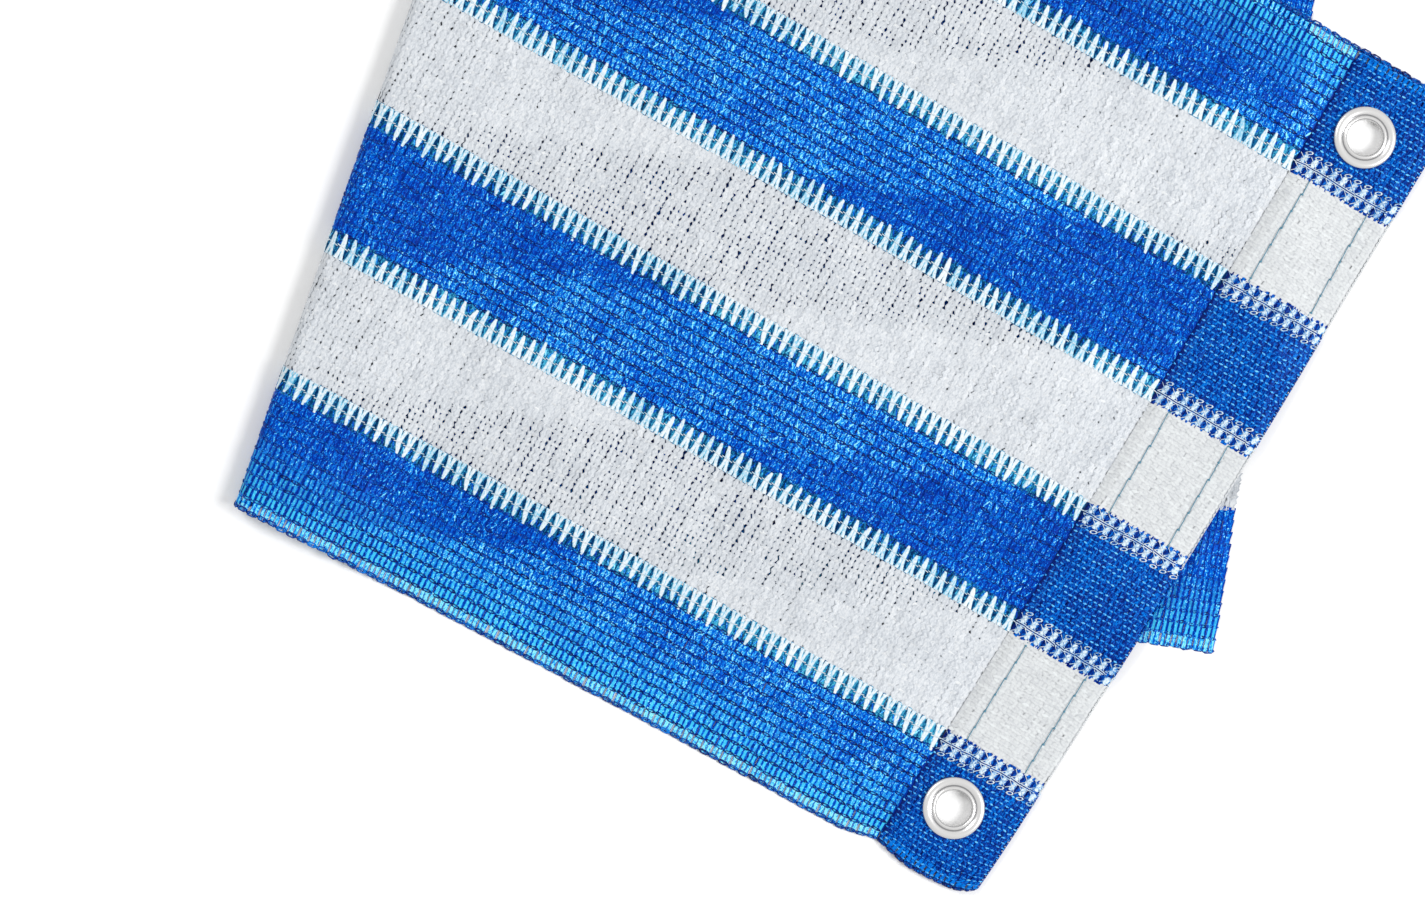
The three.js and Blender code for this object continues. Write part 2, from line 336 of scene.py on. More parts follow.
def repeated(model, columns, rows, spacing, across=ROW_PITCH):
    """A copy of a small model repeated along x and y."""
    select_only(model)
    bpy.ops.object.duplicate()
    made = bpy.context.object
    for count, offset in ((columns, (spacing, 0, 0)), (rows, (0, across, 0))):
        array = made.modifiers.new("repeat", "ARRAY")
        array.use_relative_offset = False
        array.use_constant_offset = True
        array.constant_offset_displace = offset
        array.count = count
        bpy.ops.object.modifier_apply(modifier=array.name)
    return made


def points_of(piece):
    places = np.empty(len(piece.data.vertices) * 3, np.float32)
    piece.data.vertices.foreach_get("co", places)
    return places.reshape(-1, 3).astype(float)


def paint(piece, name, values):
    """A number on every point, which the piece's material reads; unpainted points read 0."""
    layer = piece.data.attributes.get(name) or piece.data.attributes.new(name, "FLOAT", "POINT")
    layer.data.foreach_set("value", np.broadcast_to(values, len(piece.data.vertices)).astype("f"))


def scattered(model, columns, rows, spacing, seed, across=ROW_PITCH, draws=5):
    """Repeats a model: the new mesh, its points, and for each its copy and that copy's chance."""
    made = repeated(model, columns, rows, spacing, across)
    flat = points_of(made)
    copy = np.arange(len(flat)) // len(model.data.vertices)
    chance = np.random.default_rng(seed).normal(size=(columns * rows, draws))
    return made, flat, copy, chance[copy]


def place_knit(piece, flat, lay, material):
    """Moves a flat piece to where it lies and finishes it with one material.

    Each point keeps its flat place, in millimetres, so that the tape's grain follows the knit.
    """
    grain = piece.data.attributes.new("flat", "FLOAT_VECTOR", "POINT")
    grain.data.foreach_set("vector", flat.astype(np.float32).ravel())
    places = lay(flat)
    piece.data.vertices.foreach_set("co", np.asarray(places * MM, np.float32).ravel())
    piece.data.update()
    piece.data.materials.clear()
    piece.data.materials.append(material)
    select_only(piece)
    bpy.ops.object.shade_smooth()


def joined(name, parts):
    select_only(*parts)
    bpy.ops.object.join()
    made = bpy.context.object
    made.name = name
    made.data.name = name
    return made


def stand_in(piece, node):
    """A finished piece that belongs to the one rigid body and stands for a CAD node."""
    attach(piece, "root")
    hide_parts(node)


blue_leg = tape_strip("blue leg", LEG_LENGTH, LEG_WIDTHS, LEG_CROWN)
white_leg = tape_strip("white leg", LEG_LENGTH, SLIT_LEG_WIDTHS, LEG_CROWN)
for leg in (blue_leg, white_leg):
    shape(leg, everywhere, bpy.ops.transform.translate,
          value=(COURSE / 4, (ROW_PITCH - LEG_LENGTH) / 2, 0))
    shape(leg, lambda place: 0 < place.y < ROW_PITCH,
          bpy.ops.transform.translate, value=(0, 0, LEG_RISE))
blue_loop = ring_stitch("blue loop", LOOP_LENGTH, LOOP_WIDTH, LOOP_WIRE, LOOP_HEIGHT)
white_loop = tape_strip("white loop", LOOP_LENGTH, (LOOP_END, LOOP_WIDTH, LOOP_END), BUMP_CROWN)
shape(white_loop, everywhere, bpy.ops.transform.rotate, value=math.pi / 2, orient_axis="Z",
      center_override=(0, 0, 0))
shape(white_loop, everywhere, bpy.ops.transform.translate,
      value=((COURSE - LOOP_LENGTH) / 2, 0, 0))

# The tape's finish: glossy, faintly mottled polyethylene, paler where white cloth or the bare
# floor lies beneath it and darker over blue. Near the selvage, where few tapes overlap, it is
# thin and pale.
# Its bright specks are painted highlights, and its darkened rims are partly painted shade between
# neighbouring legs.
MOTTLES = (
    ("Fine", (0.5, 1.0, 0.5), 1.5), ("Patch", (20, 30, 20), 1), ("Glint", (0.3, 0.6, 0.3), 0),
)
GLINT_CREST = (0.62, 0.72)
RIM_DARK = (0.5, 0.8)
RIM_CLOSED = (0.35, 0.55)
GRAIN_DEPTH = 0.25 * MM


def between(tree, socket, low, high):
    """0 below low, 1 above high."""
    stretch = tree.nodes.new("ShaderNodeMapRange")
    stretch.inputs["From Min"].default_value = low
    stretch.inputs["From Max"].default_value = high
    tree.links.new(socket, stretch.inputs["Value"])
    return stretch.outputs["Result"]


def mottle_group():
    """Fine streaks along drawn tape, slow patches of tension and glints, bright specks painted as
    highlights, from 0 to 1.
    """
    group = bpy.data.node_groups.new("tape mottle", "ShaderNodeTree")
    out = group.nodes.new("NodeGroupOutput")
    place = group.nodes.new("ShaderNodeAttribute")
    place.attribute_name = "flat"
    for name, size, detail in MOTTLES:
        group.interface.new_socket(name, in_out="OUTPUT", socket_type="NodeSocketFloat")
        scaled = group.nodes.new("ShaderNodeVectorMath")
        scaled.operation = "DIVIDE"
        scaled.inputs[1].default_value = size
        noise = group.nodes.new("ShaderNodeTexNoise")
        noise.inputs["Scale"].default_value = 1
        noise.inputs["Detail"].default_value = detail
        noise.inputs["Roughness"].default_value = 0.6
        group.links.new(place.outputs["Vector"], scaled.inputs[0])
        group.links.new(scaled.outputs["Vector"], noise.inputs["Vector"])
        grain = noise.outputs["Fac"]
        # Painted highlight: only the crests of this noise show, as small bright glints.
        if name == "Glint":
            grain = between(group, grain, *GLINT_CREST)
        group.links.new(grain, out.inputs[name])
    return group


MOTTLE = mottle_group()


def weighted(tree, base, terms):
    """base plus, for each socket, its weight times the distance from its middle."""
    total = None
    for socket, weight, middle in terms:
        base -= weight * middle
        term = tree.nodes.new("ShaderNodeMath")
        term.operation = "MULTIPLY_ADD"
        term.inputs[1].default_value = weight
        tree.links.new(socket, term.inputs[0])
        if total is None:
            first = term
        else:
            tree.links.new(total, term.inputs[2])
        total = term.outputs[0]
    first.inputs[2].default_value = base
    return total


def attribute(tree, name):
    read = tree.nodes.new("ShaderNodeAttribute")
    read.attribute_name = name
    return read.outputs["Fac"]


def tape_material(
        name, tones, thin, roughness, fine, patch, beneath, glint, gloss=0.2, rim=0):
    """Tones run from deep to pale; thin is the colour of a single tape that light comes through.

    Fine, patch, beneath and glint say how far each moves the tone; glint is a painted highlight
    in small bright specks. Rim darkens a tape's edges, which are never thin: partly painted shade
    where a leg meets its neighbours, partly the dark threads that run beside the legs.
    """
    made = bpy.data.materials.new(name)
    made.use_nodes = True
    tree = made.node_tree
    shader = tree.nodes["Principled BSDF"]
    shader.inputs["Roughness"].default_value = roughness
    shader.inputs["Specular IOR Level"].default_value = gloss
    mottle = tree.nodes.new("ShaderNodeGroup")
    mottle.node_tree = MOTTLE
    # The tone carries painted light: glints lift it in bright specks, and the rims darken it, partly
    # as painted shade between neighbouring legs.
    tone = weighted(tree, 0.5, (
        (mottle.outputs["Fine"], fine, 0.5),
        (mottle.outputs["Patch"], patch, 0.5),
        (attribute(tree, "shade"), 1, 0),
        (attribute(tree, "beneath"), beneath, 0.5),
        (mottle.outputs["Glint"], glint, 0),
        (between(tree, attribute(tree, "rim"), *RIM_DARK), -rim, 0),
    ))
    ramp_node = tree.nodes.new("ShaderNodeValToRGB")
    colours = ramp_node.color_ramp
    for _ in tones[2:]:
        colours.elements.new(0.5)
    for element, (position, colour) in zip(colours.elements, tones):
        element.position = position
        element.color = (*colour, 1)
    tree.links.new(tone, ramp_node.inputs["Fac"])
    mix = tree.nodes.new("ShaderNodeMix")
    mix.data_type = "RGBA"
    mix.inputs["B"].default_value = (*thin, 1)
    middle = tree.nodes.new("ShaderNodeMath")
    middle.operation = "SUBTRACT"
    middle.use_clamp = True
    tree.links.new(attribute(tree, "sheer"), middle.inputs[0])
    tree.links.new(between(tree, attribute(tree, "rim"), *RIM_CLOSED), middle.inputs[1])
    tree.links.new(middle.outputs[0], mix.inputs["Factor"])
    tree.links.new(ramp_node.outputs["Color"], mix.inputs["A"])
    tree.links.new(mix.outputs["Result"], shader.inputs["Base Color"])
    bump = tree.nodes.new("ShaderNodeBump")
    bump.inputs["Strength"].default_value = 0.5
    bump.inputs["Distance"].default_value = GRAIN_DEPTH
    tree.links.new(mottle.outputs["Fine"], bump.inputs["Height"])
    tree.links.new(bump.outputs["Normal"], shader.inputs["Normal"])
    return made


NAVY = (0.0, 0.022, 0.25)
BLUE = (0.0, 0.072, 0.53)
AZURE = (0.0, 0.185, 0.7)
CYAN = (0.05, 0.52, 0.86)
PALE = (0.3, 0.78, 0.88)
THIN_WHITE = (0.7, 0.74, 0.78)
blue_tape = tape_material(
    "blue tape", ((0.1, NAVY), (0.42, BLUE), (0.68, AZURE), (0.92, CYAN), (1.0, PALE)),
    thin=(0.06, 0.6, 0.8), roughness=0.4, fine=1.7, patch=0.3, beneath=0.22, glint=0.45,
    gloss=0.04, rim=0.4)
change_tape = tape_material(
    "tape at a change",
    ((0.1, (0.0, 0.022, 0.1)), (0.45, (0.003, 0.11, 0.28)), (0.9, (0.06, 0.42, 0.62))),
    thin=(0.06, 0.6, 0.8), roughness=0.4, fine=1.8, patch=0.3, beneath=0.22, glint=0.3,
    gloss=0.04, rim=0.3)
blue_chain = tape_material(
    "blue chain", ((0.3, (0.0, 0.007, 0.1)), (0.72, (0.0, 0.033, 0.28)), (1.0, AZURE)),
    thin=(0.0, 0.05, 0.22), roughness=0.25, fine=1.3, patch=0.2, beneath=-0.34, glint=0.5)
white_tape = tape_material(
    "white tape", ((0.1, (0.43, 0.46, 0.5)), (0.5, (0.57, 0.6, 0.635)), (0.9, (0.7, 0.72, 0.74))),
    thin=THIN_WHITE, roughness=0.4, fine=1.2, patch=0.3, beneath=0.1, glint=0.1, rim=0.3)
white_chain = tape_material(
    "white chain",
    ((0.1, (0.44, 0.46, 0.49)), (0.5, (0.6, 0.62, 0.64)), (0.9, (0.74, 0.76, 0.77))),
    thin=THIN_WHITE, roughness=0.3, fine=1.2, patch=0.2, beneath=0.1, glint=0.1, gloss=0.4)
tooth_white = tape_material(
    "tooth white",
    ((0.1, (0.2, 0.5, 0.68)), (0.4, (0.55, 0.66, 0.73)), (0.8, (0.74, 0.78, 0.81))),
    thin=THIN_WHITE, roughness=0.35, fine=1.8, patch=0.2, beneath=0.1, glint=0.1, rim=0.4)

# The stripes: eleven blue rows and twelve white ones by turns, blue along both edges, all
# knitted in one piece. Next to a colour change the blue tape runs on for one row under the
# white, and on the flap it is teal there.
STRIPES = ("blue", "white", "blue", "white", "blue", "white", "blue")
STRIPE_ROWS = {"blue": 11, "white": 12}
stripe_rows = [STRIPE_ROWS[colour] for colour in STRIPES]
STRIPE_ENDS = np.cumsum(stripe_rows)
BOUNDARIES = STRIPE_ENDS[:-1]
STRIPE_SPANS = tuple(zip(STRIPE_ENDS - stripe_rows, STRIPE_ENDS, STRIPES))
PANEL = (COURSES, PANEL_START, COURSE)
SELVAGE_SHEER = (0.4, 0.72, 0.5, 0.36, 0.25, 0.13, 0.0)
SELVAGE_WIDTH = (0.66, 0.92, 1.0, 1.0)
SELVAGE_SHADE = 0.4
PAINTED_CREASE_SHADE = 0.7
CREASE_REACH = 1.6
CHANCE_LIMIT = 1.5
FULL_LEG = 1.16
LEG_WIDTH_CHANCE = 0.05
LEG_WIDTH_LIMITS = (0.8, 1.08)
LEG_WANDER = 0.09
LEG_PAIRING = 0.08
LEG_LEAN_CHANCE = 0.03
LEG_TWIST = 0.1
LEG_LIFT = 0.03
LEG_TONE = 0.05
CLOSED_SLIT = 1.45
CLOSED_BY_CHANCE = 1.0
SLIT_CHANCE = 0.07
SLIT_LIMITS = (0.8, 1.3)
SLIT_WANDER = 0.14
SLIT_SHIFT = 0.4
PALE_MARGIN = 3
LAYER_MARGIN = 2
SINGLE_LAYER = 0.3
LIFTED_SHADE = 0.6
LIFTED_REACH = (15, 70)


def on_white(across, inset, margin):
    """1 on a white stripe, from some rows inside its edges, and 0 on blue."""
    white = np.zeros(len(across))
    for start, end, colour in STRIPE_SPANS:
        if colour == "white":
            low, high = (start + inset) * ROW_PITCH, (end - inset) * ROW_PITCH
            risen = ramp(across, low - margin, low + margin)
            white += risen * (1 - ramp(across, high - margin, high + margin))
    return white


def pale_beneath(flat):
    """1 where the flap lies over white cloth or past the lower layer, 0 over blue, and lower near
    the fold as painted shade under the raised cloth.
    """
    along = flat[:, 0] + flat[:, 1] / math.tan(FOLD_LINE)
    plan, inward = cloth_plan(along, flat[:, 1])
    pale = on_white(plan[:, 1], 0, PALE_MARGIN)
    past_end = ramp(plan[:, 0], LOWER_LENGTH - LAYER_MARGIN, LOWER_LENGTH + LAYER_MARGIN)
    off_layer = 1 - ramp(plan[:, 1], -LAYER_MARGIN, LAYER_MARGIN) * (1 - past_end)
    # Painted shade: near the fold the raised flap is coloured as over shade, and its slits open.
    shade_under_lift = 1 - LIFTED_SHADE * (1 - ramp(along, *LIFTED_REACH))
    return np.where(along > 0, np.maximum(pale, off_layer) * shade_under_lift, SINGLE_LAYER)


def slits_over_blue(flat):
    """Tape over white cloth lies closed; over blue it stands open and shows it."""
    return 1 + (CLOSED_SLIT - 1) * pale_beneath(flat)


def worked_legs(model, first, rows, cloth, seed, slits=False):
    """Rows of tape legs, flat, each a little wider, narrower, twisted or shifted by chance.

    Without slits, the legs are spread until neighbours overlap, and take painted shade in the
    crease at the hem's inner edge, at the cloth's far end. Towards a selvage they are narrower
    and thinner, and the last row pale.
    """
    columns, start, pitch = cloth
    made, flat, copy, draw = scattered(model, 2 * columns, rows, pitch / 2, seed)
    column = copy % (2 * columns)
    row = first + copy // (2 * columns)
    from_edge = np.minimum(row, WIDTH_ROWS - 1 - row)
    centre = column * pitch / 2 + pitch / 4
    beside = (flat[:, 0] - centre) * np.clip(1 - LEG_WIDTH_CHANCE * draw[:, 0], *LEG_WIDTH_LIMITS)
    beside *= np.interp(from_edge, range(len(SELVAGE_WIDTH)), SELVAGE_WIDTH)
    flat[:, 0] += start
    flat[:, 1] += first * ROW_PITCH
    if slits:
        beside *= slits_over_blue(flat) * np.clip(1 - SLIT_CHANCE * draw[:, 4], *SLIT_LIMITS)
        beside *= np.where(draw[:, 0] > CLOSED_BY_CHANCE, CLOSED_SLIT, 1)
        flat[:, 1] += SLIT_SHIFT * np.clip(draw[:, 3], -CHANCE_LIMIT, CHANCE_LIMIT)
        wander, crease = SLIT_WANDER, 0
    else:
        beside *= FULL_LEG
        wander, crease = LEG_WANDER, PAINTED_CREASE_SHADE
    up = flat[:, 1] - (row + 0.5) * ROW_PITCH
    pairing = np.where(column % 2 == 0, LEG_PAIRING, -LEG_PAIRING)
    flat[:, 0] = start + centre + beside + pairing + wander * draw[:, 1]
    flat[:, 0] -= (LEG_LEAN + LEG_LEAN_CHANCE * draw[:, 2]) * up
    flat[:, 2] += LEG_TWIST * draw[:, 3] * beside + LEG_LIFT * draw[:, 4]
    paint(made, "sheer", np.interp(from_edge, range(len(SELVAGE_SHEER)), SELVAGE_SHEER))
    # Painted shade: the legs darken towards the cloth's far end, in the crease at the hem's inner
    # edge.
    to_end = start + columns * pitch - flat[:, 0]
    painted_end_shade = crease * (1 - ramp(to_end, 0, CREASE_REACH))
    outer = SELVAGE_SHADE * (from_edge == 0)
    paint(made, "shade", LEG_TONE * draw[:, 2] - painted_end_shade + outer)
    return made, flat


LOOP_WANDER = 0.1
LOOP_SHIFT = 0.12
LOOP_TURN = 0.08
LOOP_TILT = 0.06
LOOP_TILT_CHANCE = 0.04
LOOP_TONE = 0.14


def worked_loops(model, first, rows, cloth, seed):
    """Rows of chain loops, flat, each tilted so that it tucks under the next."""
    columns, start, pitch = cloth
    made, flat, copy, draw = scattered(model, columns, rows, pitch, seed)
    ahead = flat[:, 0] - (copy % columns) * pitch - pitch / 2
    flat[:, 0] += start + LOOP_WANDER * draw[:, 0]
    flat[:, 1] += first * ROW_PITCH + LOOP_SHIFT * draw[:, 1] + LOOP_TURN * draw[:, 2] * ahead
    flat[:, 2] += (LOOP_TILT + LOOP_TILT_CHANCE * draw[:, 3]) * ahead
    paint(made, "shade", LOOP_TONE * draw[:, 4])
    return made, flat


STROKES_FROM_EDGE = 6
STROKE_LENGTH = 2.3
STROKE_HEIGHT = 0.2
STROKE_LEAN = math.tan(math.radians(24))
STROKE_WANDER = 0.2
STROKE_SHIFT = 0.35
STROKE_LIFT = 0.05
STROKE_PALER = 0.05
STROKE_TONE = 0.18


def worked_strokes(model, first, rows, cloth, seed):
    """Rows of short strands over the legs, flat, each leaning one way or the other by chance."""
    columns, start, pitch = cloth
    made, flat, copy, draw = scattered(model, 2 * columns, rows, pitch / 2, seed)
    up = flat[:, 1] - ROW_PITCH / 2 - copy // (2 * columns) * ROW_PITCH
    shifted = STROKE_SHIFT * np.clip(draw[:, 2], -CHANCE_LIMIT, CHANCE_LIMIT)
    flat[:, 0] += start + STROKE_WANDER * draw[:, 0] + STROKE_LEAN * np.sign(draw[:, 1]) * up
    flat[:, 1] += first * ROW_PITCH + shifted
    flat[:, 2] += STROKE_LIFT * draw[:, 3]
    paint(made, "shade", STROKE_PALER + STROKE_TONE * draw[:, 4])
    return made, flat


def recolour_changes(legs, low, rows, material):
    """On the flap, gives the row of legs on each side of a colour change its own finish."""
    legs.data.materials.append(material)
    face = np.arange(len(legs.data.polygons))
    in_row = len(face) // rows
    row = low + face // in_row + 0.5
    along = PANEL_START + (PANEL_END - PANEL_START) * (face % in_row) / in_row
    on_flap = along + row * ROW_PITCH / math.tan(FOLD_LINE) > 0
    beside = np.min(np.abs(row[:, None] - BOUNDARIES), axis=1) < 1
    legs.data.polygons.foreach_set("material_index", (beside & on_flap).astype(np.int32))


def leg_rows(start, end, colour):
    """A stripe's rows of tape: blue runs on for one row under the white at each side."""
    if colour == "blue":
        return max(start - 1, 0), min(end + 1, WIDTH_ROWS)
    return start + 1, end - 1


def lay_on_panel(piece, flat, material):
    paint(piece, "beneath", pale_beneath(flat))
    place_knit(piece, flat, lay_panel, material)


stroke = tape_strip("stroke", STROKE_LENGTH, widths=(0.4, 0.85, 0.4), crown=0.14)
shape(stroke, everywhere, bpy.ops.transform.translate,
      value=(COURSE / 4, (ROW_PITCH - STROKE_LENGTH) / 2, STROKE_HEIGHT))
KNIT = {
    "blue": (blue_leg, blue_tape, blue_loop, blue_chain),
    "white": (white_leg, white_tape, white_loop, white_chain),
}

for number, (start, end, colour) in enumerate(STRIPE_SPANS, start=1):
    seed = 10 * number
    leg, tape, loop, chain = KNIT[colour]
    low, high = leg_rows(start, end, colour)
    legs, flat = worked_legs(leg, low, high - low, PANEL, seed, slits=colour == "white")
    lay_on_panel(legs, flat, tape)
    loops, flat = worked_loops(loop, start + 1, end - start - 1, PANEL, seed + 1)
    lay_on_panel(loops, flat, chain)
    if colour == "blue":
        recolour_changes(legs, low, high - low, change_tape)
        first = max(start, STROKES_FROM_EDGE)
        rows = min(end, WIDTH_ROWS - STROKES_FROM_EDGE) - first
        strokes, flat = worked_strokes(stroke, first, rows, PANEL, seed + 2)
        lay_on_panel(strokes, flat, blue_tape)
        loops = joined("loops", [loops, strokes])
    legs.name = f"stripe_{number}_{colour}"
    loops.name = f"chains_{number}_{colour}"
    for piece in (legs, loops):
        piece.data.name = piece.name
        stand_in(piece, "screen_panel")

# The colour changes: at each stitch a white tooth of two tape legs that part from a rounded
# tip, reaching one row into the blue and one row back, crossed halfway by a thin white thread.
TOOTH_WIDTHS = (0.8, 1.25, 1.2, 1.2, 1.5)
TOOTH_SHIFTS = (0.04, 0.22, 0.36, 0.6, 1.0)
TOOTH_LENGTH = 2 * ROW_PITCH + 0.3
TOOTH_HEIGHT = 0.34
TOOTH_OVERHANG = 0.1
TIP_CHANCE = 0.65
TIP_LIMITS = (-1.2, 1.1)
TIP_SWAY = 0.4
TOOTH_LIFT = 0.04
TOOTH_PALER = 0.04
TOOTH_TONE = 0.1
TEETH_SEED = 200
THREAD_SLANT = math.radians(9)
halves = []
for side in (-1, 1):
    half = tape_strip("half tooth", TOOTH_LENGTH, TOOTH_WIDTHS, crown=0.18,
                      shifts=[side * shift for shift in TOOTH_SHIFTS])
    shape(half, everywhere, bpy.ops.transform.translate,
          value=(COURSE / 2, -ROW_PITCH - TOOTH_OVERHANG, TOOTH_HEIGHT))
    halves.append(half)
tooth = joined("tooth", halves)
thread = strand("thread", length=1.05 * COURSE, radius=0.19, height=0.58)
shape(thread, everywhere, bpy.ops.transform.rotate, value=-THREAD_SLANT, orient_axis="Z",
      center_override=(COURSE / 2, 0, 0))


def worked_teeth(model, row, facing, cloth, seed):
    """One row of teeth or thread, flat; facing turns the tips to the blue side."""
    columns, start, pitch = cloth
    made, flat, copy, draw = scattered(model, columns, 1, pitch, seed, draws=4)
    tipward = np.maximum(0, -flat[:, 1]) / ROW_PITCH
    flat[:, 1] -= np.clip(TIP_CHANCE * draw[:, 0], *TIP_LIMITS) * tipward
    flat[:, 0] += TIP_SWAY * draw[:, 1] * tipward
    flat[:, 1] *= facing
    flat[:, 0] += start - LEG_LEAN * flat[:, 1]
    flat[:, 1] += row * ROW_PITCH
    flat[:, 2] += TOOTH_LIFT * draw[:, 2]
    paint(made, "shade", TOOTH_PALER + TOOTH_TONE * draw[:, 3])
    return made, flat


for number, (row, below) in enumerate(zip(BOUNDARIES, STRIPES), start=1):
    facing = 1 if below == "blue" else -1
    parts = []
    for model in (tooth, thread):
        part, flat = worked_teeth(model, row, facing, PANEL, TEETH_SEED + number)
        lay_on_panel(part, flat, tooth_white)
        parts.append(part)
    teeth = joined(f"teeth_{number}", parts)
    stand_in(teeth, "screen_panel")

# The selvages: a chain of larger, dark ring knots along each long edge, strung on a thin dark
# thread and worked into the pale outermost row of tape.
ring = ring_stitch("ring", length=3.7, width=2.1, wire=0.36, height=0.36)
link = strand("link", COURSE, radius=0.16, height=0.2)
for side, row, seeds in (("near", 0, (301, 302)), ("far", WIDTH_ROWS, (380, 381))):
    parts = []
    for model, seed in zip((ring, link), seeds):
        part, flat = worked_loops(model, row, 1, PANEL, seed)
        place_knit(part, flat, lay_panel, blue_chain)
        parts.append(part)
    selvage = joined(f"selvage_{side}", parts)
    stand_in(selvage, "screen_panel")

# The hem: the same knit turned up and back over itself at the flap's end, so that its upper
# ply shows the knit's back. There the tape lies dense and dark, with two rows of short dashes
# to each row of legs. It is sewn down through both plies.
HEM_RADIUS = 0.75
HEM_PLY = HEM_WIDTH - HEM_RADIUS - CLOTH / 2
HEM_TURN = math.pi * HEM_RADIUS
HEM_ROUND = 2 * HEM_PLY + HEM_TURN
HEM_COURSES = 20
HEM_TUCK = 0.85
HEM_TUCK_LENGTH = 4
HEM_COURSE = HEM_ROUND / HEM_COURSES
HEM_TOP = HEM_PLY + HEM_TURN
TOP_COURSES = HEM_COURSES // 2
TOP_START = HEM_ROUND - TOP_COURSES * HEM_COURSE
HEM_CLOTH = (HEM_COURSES, 0, HEM_COURSE)
TOP_PLY = (TOP_COURSES, TOP_START, HEM_COURSE)
HEM_BENEATH = 0.5
DASH_CROWN = 0.14
DASH_TAPER = 0.3
DASH_TURN = 0.14
DASH_WANDER = 0.1
DASH_SHIFT = 0.08
DASH_LIFT = 0.06
DASH_TONE = 0.16


def lay_hem(flat):
    """Hem cloth (distance round from its inner line, across, off the cloth) as it lies."""
    distance, across, off = flat.T
    distance = np.minimum(distance, HEM_ROUND)
    lean = np.clip(distance - HEM_PLY, 0, HEM_TURN) / HEM_RADIUS
    back = np.maximum(distance - HEM_TOP, 0)
    middle = np.minimum(distance, HEM_PLY) + HEM_RADIUS * np.sin(lean) - back
    along = flap_reach(across) - HEM_WIDTH + middle - off * np.sin(lean)
    tucked = 1 - HEM_TUCK * ramp(distance, HEM_ROUND - HEM_TUCK_LENGTH, HEM_ROUND)
    raised = HEM_RADIUS * (1 - np.cos(lean)) * tucked + off * np.cos(lean)
    return cloth_point(along, across) + cloth_normal(along, across) * raised[:, None]


def dash_model(name, length, width, height):
    """A short raised dash along x on the knit's back."""
    end = DASH_TAPER * width
    dash = tape_strip(name, length, (end, width, end), -DASH_CROWN)
    shape(dash, everywhere, bpy.ops.transform.rotate, value=math.pi / 2, orient_axis="Z",
          center_override=(0, 0, 0))
    shape(dash, everywhere, bpy.ops.transform.translate, value=(0, 0, -height))
    return dash


def worked_dashes(model, first, rows, seed):
    """Staggered dashes over rows of the hem's upper ply, flat."""
    columns = 2 * TOP_COURSES
    made, flat, copy, draw = scattered(
        model, columns, 2 * rows, HEM_COURSE / 2, seed, across=ROW_PITCH / 2)
    half_row = copy // columns
    ahead = flat[:, 0] - (copy % columns) * HEM_COURSE / 2
    beside = flat[:, 1] - half_row * ROW_PITCH / 2
    turn = DASH_TURN * draw[:, 0]
    stagger = (half_row % 2) * HEM_COURSE / 4
    flat[:, 0] += TOP_START + stagger + DASH_WANDER * draw[:, 1] - turn * beside
    flat[:, 1] += first * ROW_PITCH + ROW_PITCH / 4 + DASH_SHIFT * draw[:, 2] + turn * ahead
    flat[:, 2] -= DASH_LIFT * draw[:, 3]
    paint(made, "shade", DASH_TONE * draw[:, 4])
    return made, flat


def lay_on_hem(piece, flat, material):
    paint(piece, "beneath", HEM_BENEATH)
    place_knit(piece, flat, lay_hem, material)


hem_blue = tape_material(
    "hem blue", ((0.1, (0.0, 0.008, 0.12)), (0.5, (0.0, 0.038, 0.3)), (0.9, (0.0, 0.17, 0.66))),
    thin=(0.2, 0.6, 0.8), roughness=0.4, fine=2.0, patch=0.25, beneath=0, glint=0.2,
    gloss=0.04, rim=0.25)
hem_dash_blue = tape_material(
    "hem dashes blue",
    ((0.1, (0.0, 0.06, 0.4)), (0.5, (0.01, 0.24, 0.72)), (0.9, (0.16, 0.58, 0.92))),
    thin=(0.2, 0.6, 0.8), roughness=0.3, fine=1.3, patch=0.2, beneath=0, glint=0.3, gloss=0.15)
hem_white = tape_material(
    "hem white", ((0.1, (0.52, 0.54, 0.56)), (0.5, (0.6, 0.62, 0.63)), (0.9, (0.66, 0.69, 0.7))),
    thin=THIN_WHITE, roughness=0.45, fine=0.8, patch=0.2, beneath=0, glint=0, rim=0.3)
hem_block = tape_material(
    "hem block",
    ((0.1, (0.02, 0.18, 0.5)), (0.42, (0.45, 0.62, 0.75)), (0.8, (0.72, 0.78, 0.82))),
    thin=THIN_WHITE, roughness=0.35, fine=1.8, patch=0.2, beneath=0, glint=0.2, rim=0.4)

BLOCK_LENGTH = 3.2
BLOCK_HEIGHT = 0.34
BACK_RING_LENGTH = 2.6
BACK_RING_LEAN = math.radians(25)
BACK_RING_ROW = 1.1
STRAND_GAP = 0.09
LACE_ANGLE = math.radians(42)
dash_blue = dash_model("dash", length=1.4, width=0.7, height=0.42)
dash_white = dash_model("long dash", length=2.6, width=1.5, height=0.22)
block = tape_strip("block", BLOCK_LENGTH, widths=(1.3, 2.2, 2.2, 1.3), crown=-0.22)
shape(block, everywhere, bpy.ops.transform.translate,
      value=(HEM_COURSE / 2, (ROW_PITCH - BLOCK_LENGTH) / 2, -BLOCK_HEIGHT))
back_ring = ring_stitch(
    "back ring", BACK_RING_LENGTH, width=1.5, wire=0.19, height=-0.62, sides=8)
shape(back_ring, everywhere, bpy.ops.transform.rotate, value=BACK_RING_LEAN, orient_axis="Z",
      center_override=(BACK_RING_LENGTH / 2, 0, 0))
back_strand = strand("back strand", HEM_COURSE, radius=0.2, height=-0.62)
laces = []
